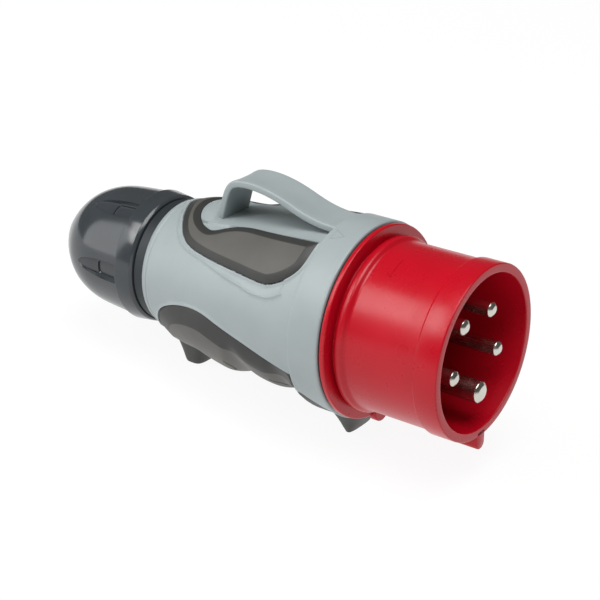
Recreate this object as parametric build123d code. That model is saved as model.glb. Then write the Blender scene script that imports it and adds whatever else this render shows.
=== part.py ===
from build123d import *
import math
import os

# Industrial pin and sleeve plug, 16 A, three phases with neutral and earth.
# Millimetres. The origin is the centre of the sleeve's mouth, +X is the way
# the plug goes into its socket, and +Z is up, away from the earth pin.

# Sleeve and its flange
sleeve_length = 37.3
sleeve_outer_r = 28.0
sleeve_wall = 2.9
mouth_fillet = 0.4
land_length = 7.8
land_height = 0.8
floor_thickness = 3.0
floor_lead = 0.8
foot_ring_length = 3.2
foot_ring_height = 1.2
foot_groove_length = 1.0
foot_groove_depth = 0.7
flange_r = 31.5
flange_thickness = 1.7
flange_fillet = 0.4
key_width = 4.6
key_height = 4.8
key_length = 20.0
key_slope = 4.0
lug_width = 8.0
lug_height = 3.0
lug_root = 5.8
lug_length = 2.8

# Skirt behind the flange, which turns in the housing on three bayonet lugs
skirt_r = 24.0
skirt_wall = 2.0
skirt_length = 14.0
turn_clearance = 0.06
bayonet_count = 3
bayonet_height = 1.8
bayonet_width = 7.0
bayonet_length = 3.2
bayonet_setback = 8.0
bayonet_turn = 25.0
bayonet_play = 0.25
gasket_thickness = 0.5
gasket_inset = 0.4

# Contact pins, on a circle, seen from the front with 0 degrees to the right
pin_circle_r = 13.4
phase_pin_r = 2.5
earth_pin_r = 3.5
phase_pin_setback = 1.9
earth_pin_setback = 0.1
pin_end_round = 0.9
pin_end_flat = 0.35
pin_groove_length = 0.7
pin_groove_depth = 0.2
pin_shoulder_extra = 1.3
pin_shoulder_length = 2.0
terminal_extra = 1.5
terminal_length = 16.0
wire_hole_r = 1.9
wire_hole_depth = 11.0
pin_hole_clearance = 0.1
pin_angles = {"l1": 126.0, "l2": 54.0, "l3": -18.0, "neutral": 198.0, "earth": 270.0}

# Contact carrier and its fastenings
carrier_r = 21.0
carrier_rim_r = 21.8
carrier_rim_length = 3.0
carrier_length = 20.0
carrier_boss_r = 3.6
carrier_boss_length = 9.0
carrier_screw_r = 1.5
carrier_screw_head_r = 2.9
carrier_screw_head_height = 2.2
carrier_screw_length = 20.0
terminal_screw_r = 1.7
terminal_screw_inset = 2.3
terminal_screw_end = 2.1
terminal_screw_length = 7.6
screw_slot_width = 0.7
screw_slot_depth = 1.0
part_clearance = 0.06

# Grip housing
band_length = 11.3
band_r = 32.0
band_fillet = 0.6
body_length = 67.2
body_form = [(0.0, 31.2), (0.14, 30.5), (0.43, 28.3), (0.73, 25.2), (1.0, 22.3)]
housing_wall = 2.6
bore_end_gap = 0.5
bore_wall = 3.2
saddle_rear_share = 0.665
saddle_rear_z = 23.2
saddle_front_z = 28.2
tongue_form = [(0.012, 14.0), (0.12, 13.8), (0.30, 13.0), (0.46, 12.1), (0.567, 13.2)]
tongue_end = [(0.635, 14.1), (0.69, 13.0), (0.772, 8.6), (0.803, 4.3), (0.815, 0.0)]

# Suspension loop on top of the housing, profile as (share of body, height)
loop_width = 14.0
loop_thickness = 2.3
loop_outer = [(0.694, 21.7), (0.665, 29.7), (0.644, 33.6), (0.61, 36.5), (0.55, 37.8),
              (0.47, 37.9), (0.40, 37.3), (0.29, 35.3), (0.19, 32.9), (0.09, 31.4), (0.0, 30.9)]

# Inlaid grips: outlines unrolled as (share of body length, angle above the horizontal)
pad_rise = 0.9
pad_border = 2.4
pad_border_rise = 0.35
pad_depth = 1.3
pad_edge = [(0.935, 90.0), (0.875, 68.0), (0.818, 53.5), (0.765, 45.5), (0.634, 38.0),
            (0.485, 34.5), (0.345, 32.3), (0.246, 30.9), (0.185, 30.5)]
pad_nose = [(0.131, 33.0), (0.061, 39.0), (0.028, 44.5), (0.016, 52.0), (0.015, 64.0)]
grip_rise = 1.1
grip_depth = 1.4
grip_lift = 3.5
grip_floor_wall = 2.2
grip_edge = [(0.99, -75.0), (0.955, -48.0), (0.915, -29.0), (0.866, -16.0), (0.784, -7.5), (0.66, -2.2),
             (0.562, -1.8), (0.461, -5.0), (0.299, -10.0), (0.119, -16.0), (0.004, -19.5)]
band_grip_top = -32.5
band_grip_end = -48.0
band_grip_cover = 2.0
band_grip_rise = -0.4
inlay_clearance = 0.05

# Finger ridges under the grip, turned about an axis that lies above the plug's own
finger_axis_z = 6.0
finger_form = [(1.0, 29.0), (0.905, 30.2), (0.792, 31.3), (0.70, 31.6), (0.625, 32.9), (0.54, 34.5),
               (0.458, 33.8), (0.375, 32.1), (0.30, 33.3), (0.226, 34.1), (0.17, 33.9), (0.122, 33.0),
               (0.058, 35.2), (0.0, 37.3)]

# Feet under the grip, which share one resting plane
front_foot_x = -45.6
front_foot_z = -39.4
front_foot_length = 3.4
front_foot_width = 12.6
rear_foot_x = -111.0
rear_foot_z = -34.7
rear_foot_length = 5.6
rear_foot_width = 9.6
foot_flare = 3.2
foot_round = 1.0

# Cable gland
collar_r = 21.0
collar_length = 4.3
collar_fillet = 0.5
spigot_r = 15.5
spigot_length = 13.0
neck_r = 19.4
neck_bore_r = 14.8
neck_passage_r = 11.5
seal_r = 14.7
seal_bore_r = 8.0
seal_length = 19.0
cage_ring_r = 18.4
cage_ring_length = 2.0
cage_finger_length = 9.7
cage_finger_wall = 1.6
cage_tip_r = 13.2
cage_tip_gap = 0.8
cage_slot_width = 1.4
cage_slot_count = 12
thrust_ring_r = 12.2
thrust_ring_bore_r = 10.2
thrust_ring_thickness = 1.2
seat_gap = 0.3
slip_gap = 0.1

# Gland nut
nut_length = 39.6
nut_band_length = 6.8
nut_band_r = 22.8
nut_fillet = 0.5
nut_form = [(0.165, 22.4), (0.44, 21.8), (0.645, 20.9), (0.77, 19.6), (0.85, 18.0), (0.915, 15.8),
            (0.965, 13.0), (1.0, 10.2)]
nut_wall = 2.2
nut_end_wall = 2.6
nut_mouth_r = 9.6
nut_thread_clearance = 0.08
groove_count = 6
groove_width = 6.5
groove_depth = 0.95
groove_length = 19.0
groove_ramp = 9.0
groove_step_depth = 0.35
groove_step_length = 9.5

# Stations along the axis that follow from the sizes above
flange_front_x = -sleeve_length
flange_rear_x = flange_front_x - flange_thickness
housing_front_x = flange_rear_x - gasket_thickness
skirt_rear_x = flange_rear_x - skirt_length
band_rear_x = housing_front_x - band_length
housing_rear_x = band_rear_x - body_length
floor_front_x = flange_front_x + floor_lead
floor_rear_x = floor_front_x - floor_thickness
carrier_rear_x = floor_rear_x - carrier_length
bore_rear_x = skirt_rear_x - bore_end_gap
collar_rear_x = housing_rear_x - collar_length
nut_front_x = collar_rear_x - seat_gap
nut_rear_x = nut_front_x - nut_length
thrust_ring_rear_x = nut_rear_x + nut_end_wall + slip_gap
thrust_ring_front_x = thrust_ring_rear_x + thrust_ring_thickness
cage_tip_x = thrust_ring_front_x + cage_tip_gap
neck_rear_x = cage_tip_x + cage_finger_length + cage_ring_length
sleeve_inner_r = sleeve_outer_r - sleeve_wall
housing_bore_r = skirt_r + turn_clearance


def turned(*profile):
    """Solid turned about X from (x, radius) corners."""
    return revolve(make_face(Polyline(*profile, close=True)), Axis.X)


def rod(radius, x_rear, x_front):
    """Round bar along the X axis."""
    bar = Cylinder(radius, x_front - x_rear, align=(Align.CENTER, Align.CENTER, Align.MIN))
    return Pos(x_rear, 0, 0) * Rot(0, 90, 0) * bar


def cross_rod(radius, length):
    """Round bar from the origin along +Y."""
    bar = Cylinder(radius, length, align=(Align.CENTER, Align.CENTER, Align.MIN))
    return Rot(-90, 0, 0) * bar


def about_x(angle):
    """Turn about X, so that a thing built at +Y lies at that angle seen from the front."""
    return Rot(angle, 0, 0)


def body_x(share):
    """Place along the grip, from 0 at the band to 1 at its rear end."""
    return band_rear_x - share * body_length


def body_r(share):
    """Radius of the grip there."""
    for (near, near_r), (far, far_r) in zip(body_form, body_form[1:]):
        if share <= far:
            return near_r + (far_r - near_r) * (share - near) / (far - near)
    return body_form[-1][1]


def on_body(share, angle):
    """Side view place (x, z) of a point on the grip's surface."""
    return (body_x(share), body_r(share) * math.sin(math.radians(angle)))


def body_skin(offset):
    """Solid turned to the grip's outer form, moved out by offset."""
    edge = Spline(*[(body_x(share), radius + offset) for share, radius in body_form])
    base = Polyline(edge @ 1, (housing_rear_x, 0), (band_rear_x, 0), edge @ 0)
    return revolve(make_face(edge + base), Axis.X)


def side_prism(outline, half_depth=2 * band_r):
    """Block with a side view outline in X and Z, through the whole plug along Y."""
    return extrude(Plane.XZ * make_face(outline), amount=half_depth, both=True)


def tongue_prism(margin=0.0):
    """Block with the plan outline of the light tongue between the pads' two arms, and a margin."""
    side = [(body_x(share), width + margin) for share, width in tongue_form]
    for share, width in tongue_end:
        turn = width / tongue_end[0][1]
        side.append((body_x(share) - margin * (1 - turn), width + margin * turn))
    mirrored = [(x, -y) for x, y in reversed(side[:-1])]
    edge = Spline(*(side + mirrored))
    front = Polyline(edge @ 1, (housing_front_x, -side[0][1]), (housing_front_x, side[0][1]), edge @ 0)
    return extrude(make_face(edge + front), amount=2 * band_r)


def saddle_room(drop):
    """Room over the flat saddle under the loop, with its floor lowered by drop."""
    rear_x = body_x(saddle_rear_share)
    side = Polyline((rear_x, saddle_rear_z - drop), (band_rear_x, saddle_front_z - drop),
                    (band_rear_x, 2 * band_r), (rear_x, 2 * band_r), close=True)
    return side_prism(side) & tongue_prism()


def loop_solid():
    """Strap from the rear leg over the crest and down to the band."""
    outer = Spline(*[(body_x(share), z) for share, z in loop_outer])
    strip = trace(outer, loop_thickness)
    return extrude(Plane.XZ * strip, amount=loop_width / 2, both=True)


def pad_region():
    """Side view block of the pad above its lower edge, without the tongue."""
    low = Spline(*[on_body(share, angle) for share, angle in pad_edge])
    nose = Spline(low @ 1, *[on_body(share, angle) for share, angle in pad_nose])
    top = Polyline(nose @ 1, ((nose @ 1).X, 2 * band_r), ((low @ 0).X, 2 * band_r), low @ 0)
    block = side_prism(low + nose + top)
    return block - tongue_prism()


def pad_face_region():
    """The pad's region inside its border."""
    inner = [(share - pad_border / body_length, angle) for share, angle in pad_edge[:3]]
    inner += [(share, angle + pad_border_turn(share)) for share, angle in pad_edge[3:]]
    low = Spline(*[on_body(share, angle) for share, angle in inner])
    nose_x = [(share + pad_border / body_length, angle) for share, angle in pad_nose[1:]]
    nose = Spline(low @ 1, *[on_body(share, angle) for share, angle in nose_x])
    top = Polyline(nose @ 1, ((nose @ 1).X, 2 * band_r), ((low @ 0).X, 2 * band_r), low @ 0)
    return side_prism(low + nose + top) - tongue_prism(pad_border)


def pad_border_turn(share):
    """Angle that the border's width takes up round the grip."""
    return math.degrees(pad_border / body_r(share))


def grip_region():
    """Side view block under the grip's upper edge, back from the flange."""
    edge = Spline(*[on_body(share, angle) for share, angle in grip_edge])
    corner_z = band_r * math.sin(math.radians(band_grip_top))
    end_z = band_r * math.sin(math.radians(band_grip_end))
    front_x = housing_front_x - band_grip_cover / 4
    outline = Polyline(edge @ 1, (band_rear_x, corner_z), (band_rear_x + band_grip_cover, corner_z),
                       (front_x, end_z), (front_x, -2 * band_r), ((edge @ 0).X, -2 * band_r), edge @ 0)
    return side_prism(edge + outline)


def grip_floor():
    """Solid that the grip lies on: the body's form, sunk and lifted, and the band's own floor."""
    body = Pos(0, 0, grip_lift) * body_skin(-grip_depth)
    return body + rod(housing_bore_r + bore_wall, band_rear_x, housing_front_x)


def finger_solid():
    """Ridged form of the grip's underside."""
    edge = Spline(*[(body_x(share), radius) for share, radius in finger_form])
    front_r = finger_form[-1][1]
    base = Polyline(edge @ 1, (housing_front_x, front_r), (housing_front_x, 0), (housing_rear_x, 0), edge @ 0)
    return Pos(0, 0, finger_axis_z) * revolve(make_face(edge + base), Axis.X)


def foot(x, z, length, width):
    """Fin under the grip that tapers down to its flat end."""
    sole = Plane.XY.offset(z) * Pos(x, 0, 0) * Rectangle(length, width)
    root = Plane.XY.offset(z / 2) * Pos(x, 0, 0) * Rectangle(length + 2 * foot_flare, width + foot_flare)
    fin = loft([sole, root])
    corners = [edge for edge in fin.edges() if abs(edge.tangent_at(0.5).Z) > 0.5]
    return fillet(corners, foot_round)


def resting_cut():
    """Everything under the plane on which both feet stand."""
    slope = (front_foot_z - rear_foot_z) / (front_foot_x - rear_foot_x)
    far = body_length
    front = (front_foot_x + far, front_foot_z + slope * far)
    rear = (rear_foot_x - far, rear_foot_z - slope * far)
    outline = Polyline(front, rear, (rear[0], rear[1] - far), (front[0], front[1] - far), close=True)
    return side_prism(outline)


def bayonet_ring(front_x, rear_x, play):
    """Ring round the skirt that the lugs and their tracks are cut from."""
    root_r = skirt_r - skirt_wall / 2
    crest_r = skirt_r + bayonet_height + play
    return turned((front_x, root_r), (front_x, crest_r), (rear_x, crest_r), (rear_x, root_r))


def bayonet_lugs():
    """Lugs round the skirt."""
    front_x = flange_rear_x - bayonet_setback
    ring = bayonet_ring(front_x, front_x - bayonet_length, 0)
    half = math.degrees(bayonet_width / 2 / skirt_r)
    starts = [index * 360 / bayonet_count - half for index in range(bayonet_count)]
    return Part() + [ring & sector(start, 2 * half) for start in starts]


def bayonet_tracks():
    """Tracks that the lugs turn in, each with its way out to the front."""
    front_x = flange_rear_x - bayonet_setback + bayonet_play
    ring = bayonet_ring(front_x, front_x - bayonet_length - 2 * bayonet_play, bayonet_play)
    entry = bayonet_ring(housing_front_x, front_x, bayonet_play)
    half = math.degrees((bayonet_width / 2 + bayonet_play) / skirt_r)
    tracks = []
    for index in range(bayonet_count):
        start = index * 360 / bayonet_count - half
        tracks.append(ring & sector(start, 2 * half + bayonet_turn))
        tracks.append(entry & sector(start + bayonet_turn, 2 * half))
    return Part() + tracks


def sector(start, arc):
    """Wedge about X from a start angle over an arc."""
    reach = 3 * band_r
    middle = start + arc / 2
    points = [(0, 0)]
    for angle in (start, middle, start + arc):
        points.append((reach * math.cos(math.radians(angle)), reach * math.sin(math.radians(angle))))
    face = Plane.YZ * make_face(Polyline(*points, close=True))
    return extrude(face, amount=3 * sleeve_length, both=True)


def make_housing():
    """Moulded grip housing with its band, tongue and suspension loop."""
    band = rod(band_r, band_rear_x, housing_front_x)
    band = fillet(band.edges().filter_by(GeomType.CIRCLE), band_fillet)
    shell = band + body_skin(0)
    shell -= saddle_room(0)
    shell += loop_solid() - body_skin(-housing_wall / 2)
    cavity = body_skin(-housing_wall) & (Pos(0, 0, grip_lift) * body_skin(-grip_depth - grip_floor_wall))
    cavity -= saddle_room(housing_wall)
    cavity &= rod(band_r, housing_rear_x + spigot_length, bore_rear_x)
    shell -= cavity
    shell -= rod(housing_bore_r, bore_rear_x, housing_front_x)
    shell -= rod(spigot_r + part_clearance, housing_rear_x, housing_rear_x + spigot_length)
    shell -= bayonet_tracks()
    shell -= pad_region() - body_skin(-pad_depth)
    shell -= grip_region() - grip_floor()
    return shell


def make_top_grip_pad():
    """Soft inlay with an arm on each side of the tongue, joined behind the loop."""
    seat = body_skin(-pad_depth + inlay_clearance)
    border = (body_skin(pad_border_rise) - seat) & pad_region()
    return border + ((body_skin(pad_rise) - seat) & pad_face_region())


def make_bottom_grip_pad():
    """Soft inlay under the hand with finger ridges and two feet."""
    grip = body_skin(grip_rise) + rod(band_r + band_grip_rise, band_rear_x, housing_front_x)
    grip = grip & finger_solid()
    grip += foot(front_foot_x, front_foot_z, front_foot_length, front_foot_width)
    grip += foot(rear_foot_x, rear_foot_z, rear_foot_length, rear_foot_width)
    grip = grip & grip_region()
    grip -= Pos(0, 0, grip_lift) * body_skin(-grip_depth + inlay_clearance)
    grip -= rod(housing_bore_r + bore_wall + inlay_clearance, band_rear_x, housing_front_x)
    return grip - resting_cut()


def make_sleeve():
    """Sleeve, floor, flange and skirt in one moulding, with its key and lug."""
    body_outer_r = sleeve_outer_r - land_height
    ring_outer_r = body_outer_r + foot_ring_height
    groove_floor_r = body_outer_r - foot_groove_depth
    ring_rear_x = flange_front_x + foot_groove_length
    ring_front_x = ring_rear_x + foot_ring_length
    outer = turned((0, 0), (0, sleeve_outer_r), (-land_length, sleeve_outer_r),
                   (-land_length - land_height, body_outer_r), (ring_front_x, body_outer_r),
                   (ring_front_x, ring_outer_r), (ring_rear_x, ring_outer_r),
                   (ring_rear_x, groove_floor_r), (flange_front_x, groove_floor_r),
                   (flange_front_x, skirt_r), (skirt_rear_x, skirt_r), (skirt_rear_x, skirt_r - skirt_wall),
                   (floor_rear_x, skirt_r - skirt_wall), (floor_rear_x, 0))
    flange = rod(flange_r, flange_rear_x, flange_front_x) - rod(skirt_r, flange_rear_x, flange_front_x)
    outer += fillet(flange.edges().filter_by(GeomType.CIRCLE).group_by(SortBy.RADIUS)[-1], flange_fillet)
    outer += sleeve_key() + sleeve_lug()
    outer += bayonet_lugs()
    outer += rod(carrier_boss_r, floor_rear_x - carrier_boss_length, floor_rear_x)
    outer -= rod(sleeve_inner_r, floor_front_x, 0)
    outer -= rod(carrier_screw_r, floor_rear_x - carrier_boss_length, floor_rear_x)
    for name, angle in pin_angles.items():
        outer -= about_x(angle) * Pos(0, pin_circle_r, 0) * rod(pin_r(name) + pin_hole_clearance,
                                                               floor_rear_x, floor_front_x)
    rim = outer.edges().filter_by(GeomType.CIRCLE).group_by(Axis.X)[-1]
    return fillet(rim, mouth_fillet)


def sleeve_key():
    """Key under the mouth, with a rounded crest and a sloping rear end."""
    crest_z = -(sleeve_outer_r + key_height)
    base_z = -sleeve_outer_r + sleeve_wall / 2
    face = Pos(0, (crest_z + base_z) / 2) * RectangleRounded(key_width, base_z - crest_z, key_width * 0.48)
    face += Pos(0, base_z - key_width / 2) * Rectangle(key_width, key_width)
    bar = extrude(Plane.YZ * face, amount=-key_length)
    slope = Polyline((-key_length, base_z), (-key_length, crest_z), (-key_length + key_slope, crest_z),
                     (-key_length, -sleeve_outer_r + land_height), close=True)
    return bar - side_prism(slope)


def sleeve_lug():
    """Rounded lug in front of the flange, in line with the key."""
    crest_z = -(flange_r + lug_height)
    height = lug_height + lug_root
    face = Pos(0, crest_z + height / 2) * RectangleRounded(lug_width, height, lug_width * 0.4)
    bar = extrude(Plane.YZ * face, amount=lug_length)
    return Pos(flange_rear_x, 0, 0) * bar


def pin_r(name):
    """Radius of the pin's contact length."""
    return earth_pin_r if name == "earth" else phase_pin_r


def pin_tip_x(name):
    """Station of the pin's free end."""
    return -earth_pin_setback if name == "earth" else -phase_pin_setback


def terminal_r(name):
    """Radius of the thick end that holds the wire."""
    return pin_r(name) + terminal_extra


def terminal_rear_x():
    """Station of the terminals' wire ends."""
    return floor_rear_x - pin_shoulder_length - terminal_length


def make_pin(name):
    """Turned contact pin with a shoulder, a wire hole and a tapped cross hole."""
    radius = pin_r(name)
    tip_x = pin_tip_x(name)
    shoulder_r = terminal_r(name) + pin_shoulder_extra
    shoulder_x = floor_rear_x - part_clearance
    rear_x = terminal_rear_x()
    terminal_x = shoulder_x - pin_shoulder_length
    groove_x = floor_front_x + pin_groove_length
    groove_r = radius - pin_groove_depth
    pin = turned((tip_x, 0), (tip_x, radius - pin_end_round), (tip_x - pin_end_flat, radius - pin_end_flat),
                 (tip_x - pin_end_round, radius), (groove_x, radius), (groove_x, groove_r),
                 (floor_front_x, groove_r), (floor_front_x, radius), (shoulder_x, radius),
                 (shoulder_x, shoulder_r), (terminal_x, shoulder_r), (terminal_x, terminal_r(name)),
                 (rear_x, terminal_r(name)), (rear_x, 0))
    pin -= rod(wire_hole_r, rear_x, rear_x + wire_hole_depth)
    screw_x = terminal_rear_x() + terminal_screw_inset
    pin -= Pos(screw_x, 0, 0) * cross_rod(terminal_screw_r + part_clearance, 2 * radius)
    return about_x(pin_angles[name]) * Pos(0, pin_circle_r, 0) * pin


def make_terminal_screw(name):
    """Slotted grub screw that clamps the wire, driven from the carrier's side."""
    screw_x = terminal_rear_x() + terminal_screw_inset
    shank = cross_rod(terminal_screw_r, terminal_screw_length)
    slot = Box(3 * terminal_screw_r, 2 * screw_slot_depth, screw_slot_width)
    screw = shank - Pos(0, terminal_screw_length, 0) * slot
    start = pin_circle_r + terminal_screw_end - wire_hole_r
    return about_x(pin_angles[name]) * Pos(screw_x, start, 0) * screw


def make_contact_carrier():
    """Insulating block behind the sleeve's floor that holds the five terminals."""
    front_x = floor_rear_x - part_clearance
    carrier = rod(carrier_r, carrier_rear_x, front_x)
    carrier += rod(carrier_rim_r, front_x - carrier_rim_length, front_x)
    carrier -= rod(carrier_boss_r + part_clearance, front_x - carrier_boss_length - part_clearance, front_x)
    carrier -= rod(carrier_screw_r + part_clearance, carrier_rear_x, front_x)
    screw_x = terminal_rear_x() + terminal_screw_inset
    for name, angle in pin_angles.items():
        shoulder_r = terminal_r(name) + pin_shoulder_extra + part_clearance
        room = rod(shoulder_r, front_x - pin_shoulder_length - part_clearance, front_x)
        room += rod(terminal_r(name) + part_clearance, carrier_rear_x, front_x)
        room += Pos(screw_x, 0, 0) * cross_rod(terminal_screw_r + 2 * part_clearance, carrier_r)
        carrier -= about_x(angle) * Pos(0, pin_circle_r, 0) * room
    return carrier


def make_carrier_screw():
    """Screw along the axis that draws the carrier onto the sleeve's boss."""
    head_x = carrier_rear_x - part_clearance
    screw = rod(carrier_screw_r - part_clearance, head_x, head_x + carrier_screw_length)
    head = rod(carrier_screw_head_r, head_x - carrier_screw_head_height, head_x)
    head = fillet(head.edges().group_by(Axis.X)[0], carrier_screw_head_height / 3)
    slot = Pos(head_x - carrier_screw_head_height, 0, 0) * Box(2 * screw_slot_depth, 3 * carrier_screw_head_r,
                                                              screw_slot_width)
    return screw + head - slot


def make_flange_gasket():
    """Flat ring between the flange and the housing."""
    return (rod(flange_r - gasket_inset, housing_front_x, flange_rear_x)
            - rod(skirt_r, housing_front_x, flange_rear_x))


def make_gland_body():
    """Threaded neck with the collar that the nut stops at and the spigot in the housing."""
    neck = rod(spigot_r, housing_rear_x, housing_rear_x + spigot_length)
    collar = rod(collar_r, collar_rear_x, housing_rear_x)
    neck += fillet(collar.edges().filter_by(GeomType.CIRCLE), collar_fillet)
    neck += rod(neck_r, neck_rear_x, collar_rear_x)
    neck -= rod(neck_passage_r, neck_rear_x, housing_rear_x + spigot_length)
    return neck - rod(neck_bore_r, neck_rear_x, neck_rear_x + seal_length + part_clearance)


def make_cord_seal():
    """Rubber bush in the neck that the nut squeezes onto the cord."""
    seal = rod(seal_r, neck_rear_x, neck_rear_x + seal_length)
    return seal - rod(seal_bore_r, neck_rear_x, neck_rear_x + seal_length)


def make_clamp_cage():
    """Ring of fingers behind the neck that the nut bends inward."""
    ring_rear_x = neck_rear_x - cage_ring_length
    ring_inner_r = cage_ring_r - 2 * cage_finger_wall
    cage = turned((neck_rear_x, cage_ring_r), (ring_rear_x, cage_ring_r), (cage_tip_x, cage_tip_r),
                  (cage_tip_x, cage_tip_r - cage_finger_wall), (ring_rear_x, ring_inner_r),
                  (neck_rear_x, ring_inner_r))
    slot = Box(cage_finger_length, cage_slot_width, 2 * cage_ring_r,
               align=(Align.MIN, Align.CENTER, Align.MIN))
    for index in range(cage_slot_count):
        cage -= about_x(index * 360 / cage_slot_count) * Pos(cage_tip_x, 0, 0) * slot
    return cage


def make_thrust_ring():
    """Slip ring between the fingers and the nut's end wall."""
    ring = rod(thrust_ring_r, thrust_ring_rear_x, thrust_ring_front_x)
    return ring - rod(thrust_ring_bore_r, thrust_ring_rear_x, thrust_ring_front_x)


def nut_x(share):
    """Place along the nut, from 0 at its front edge to 1 at its rear end."""
    return nut_front_x - share * nut_length


def nut_dome(offset):
    """Solid turned to the nut's smooth form behind its band."""
    edge = Spline(*[(nut_x(share), radius + offset) for share, radius in nut_form])
    start_x = (edge @ 0).X
    end_x = (edge @ 1).X
    return revolve(make_face(edge + Polyline(edge @ 1, (end_x, 0), (start_x, 0), edge @ 0)), Axis.X)


def nut_groove_floor():
    """Solid turned to the grooves' floor: a ramp down from their tips, and a step towards the band."""
    start_x = nut_front_x - nut_band_length
    step_x = start_x - groove_step_length
    tip_x = start_x - groove_length
    ramp_x = tip_x + groove_ramp
    deep = groove_depth + groove_step_depth
    return turned((start_x, nut_r(start_x) - deep), (step_x, nut_r(step_x) - deep),
                  (step_x, nut_r(step_x) - groove_depth), (ramp_x, nut_r(ramp_x) - groove_depth),
                  (tip_x, nut_r(tip_x)), (nut_rear_x, nut_r(tip_x)), (nut_rear_x, 0), (start_x, 0))


def nut_r(x):
    """Radius of the nut's dome at a station."""
    share = (nut_front_x - x) / nut_length
    for (near, near_r), (far, far_r) in zip(nut_form, nut_form[1:]):
        if share <= far:
            return near_r + (far_r - near_r) * (share - near) / (far - near)
    return nut_form[-1][1]


def nut_groove():
    """Grip groove along the dome that starts at the band and ends in a rounded tip."""
    start_x = nut_front_x - nut_band_length
    straight_x = start_x - groove_length + groove_width
    half = groove_width / 2
    side = Polyline((straight_x, -half), (start_x, -half), (start_x, half), (straight_x, half))
    tip = Spline((straight_x, half), (start_x - groove_length, 0), (straight_x, -half),
                 tangents=[(-1, 0), (1, 0)])
    return extrude(make_face(side + tip), amount=band_r)


def make_gland_nut():
    """Domed gland nut with a raised band in front and grip grooves along the dome."""
    band = rod(nut_band_r, nut_front_x - nut_band_length, nut_front_x)
    band = fillet(band.edges().filter_by(GeomType.CIRCLE), nut_fillet)
    dome = nut_dome(0)
    core = nut_groove_floor()
    grooves = [about_x(index * 360 / groove_count + 90) * nut_groove() for index in range(groove_count)]
    nut = dome - (Part() + grooves - core) + band
    nut -= nut_dome(-nut_wall) & rod(band_r, nut_rear_x + nut_end_wall, neck_rear_x - part_clearance)
    nut -= rod(neck_r + nut_thread_clearance, neck_rear_x - part_clearance, nut_front_x)
    return nut - rod(nut_mouth_r, nut_rear_x - nut_end_wall, nut_front_x)


def make_parts():
    """Every node of the plug by name."""
    parts = {
        "grip_housing": make_housing(),
        "top_grip_pad": make_top_grip_pad(),
        "bottom_grip_pad": make_bottom_grip_pad(),
        "sleeve": make_sleeve(),
        "flange_gasket": make_flange_gasket(),
        "contact_carrier": make_contact_carrier(),
        "carrier_screw": make_carrier_screw(),
        "gland_body": make_gland_body(),
        "cord_seal": make_cord_seal(),
        "clamp_cage": make_clamp_cage(),
        "thrust_ring": make_thrust_ring(),
        "gland_nut": make_gland_nut(),
    }
    for name in pin_angles:
        parts["pin_" + name] = make_pin(name)
        parts["terminal_screw_" + name] = make_terminal_screw(name)
    return parts


os.makedirs("parts", exist_ok=True)
for node, shape in make_parts().items():
    shape.label = node
    export_step(shape, f"parts/{node}.step")
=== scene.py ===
import math

import bpy
import numpy as np
from mathutils import Matrix, Vector
from mathutils.geometry import delaunay_2d_cdt


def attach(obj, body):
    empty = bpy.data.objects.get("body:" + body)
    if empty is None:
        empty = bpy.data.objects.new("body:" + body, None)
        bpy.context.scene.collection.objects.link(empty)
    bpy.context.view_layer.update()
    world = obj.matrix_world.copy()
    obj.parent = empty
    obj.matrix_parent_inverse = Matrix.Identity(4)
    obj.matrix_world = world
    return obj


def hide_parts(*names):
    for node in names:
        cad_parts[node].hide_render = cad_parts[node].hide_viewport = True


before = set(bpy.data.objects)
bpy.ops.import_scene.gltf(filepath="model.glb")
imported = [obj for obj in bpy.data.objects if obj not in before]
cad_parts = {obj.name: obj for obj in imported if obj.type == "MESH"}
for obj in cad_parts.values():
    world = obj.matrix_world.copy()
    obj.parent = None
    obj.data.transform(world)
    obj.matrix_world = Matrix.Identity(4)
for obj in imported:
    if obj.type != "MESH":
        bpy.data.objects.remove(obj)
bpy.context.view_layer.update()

# Sizes of the plug are in mm, and MM turns them into metres.
MM = 0.001

# Camera. Its place was worked out from the mouth's circles and the pin ends in the photograph,
# as an azimuth from the plug's axis, a height angle and a distance from the mouth's centre.
VIEW_TURN = math.radians(53.49)
VIEW_RISE = math.radians(24.37)
VIEW_DISTANCE = 480 * MM
VIEW_RIGHT = 55.54 * MM
VIEW_UP = -16.08 * MM
FOCAL_PIXELS = 1602
IMAGE_PIXELS = 600
SENSOR = 36.0
CLIP_NEAR = 0.01
CLIP_FAR = 20


def make_camera():
    """Camera at the photograph's place, with the frame shifted to the plug's middle."""
    level = math.cos(VIEW_RISE)
    toward = Vector((level * math.cos(VIEW_TURN), -level * math.sin(VIEW_TURN), math.sin(VIEW_RISE)))
    right = Vector((math.sin(VIEW_TURN), math.cos(VIEW_TURN), 0))
    up = toward.cross(right)
    place = toward * VIEW_DISTANCE - right * VIEW_RIGHT - up * VIEW_UP
    data = bpy.data.cameras.new("camera")
    data.sensor_width = SENSOR
    data.lens = SENSOR * FOCAL_PIXELS / IMAGE_PIXELS
    data.clip_start = CLIP_NEAR
    data.clip_end = CLIP_FAR
    camera = bpy.data.objects.new("camera", data)
    camera.matrix_world = Matrix((right, up, toward)).transposed().to_4x4()
    camera.location = place
    bpy.context.scene.collection.objects.link(camera)
    bpy.context.scene.camera = camera


make_camera()

# Studio. The plug stands on its two fins, so the floor is the plane under both soles. Four soft
# boxes light it: a large one on the left, a narrow one over that, a weak one by the camera and a
# strong one on top.
SOLE_FRONT = Vector((-45.6, 0, -39.7)) * MM
SOLE_REAR = Vector((-112.0, 0, -35.0)) * MM
FLOOR_SIZE = 6.0
FLOOR_GLOW = 0.92
FLOOR_ROUGHNESS = 0.9
WORLD_GLOW = 0.1
LIGHT_TARGET = (-0.06, 0, 0)
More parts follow.
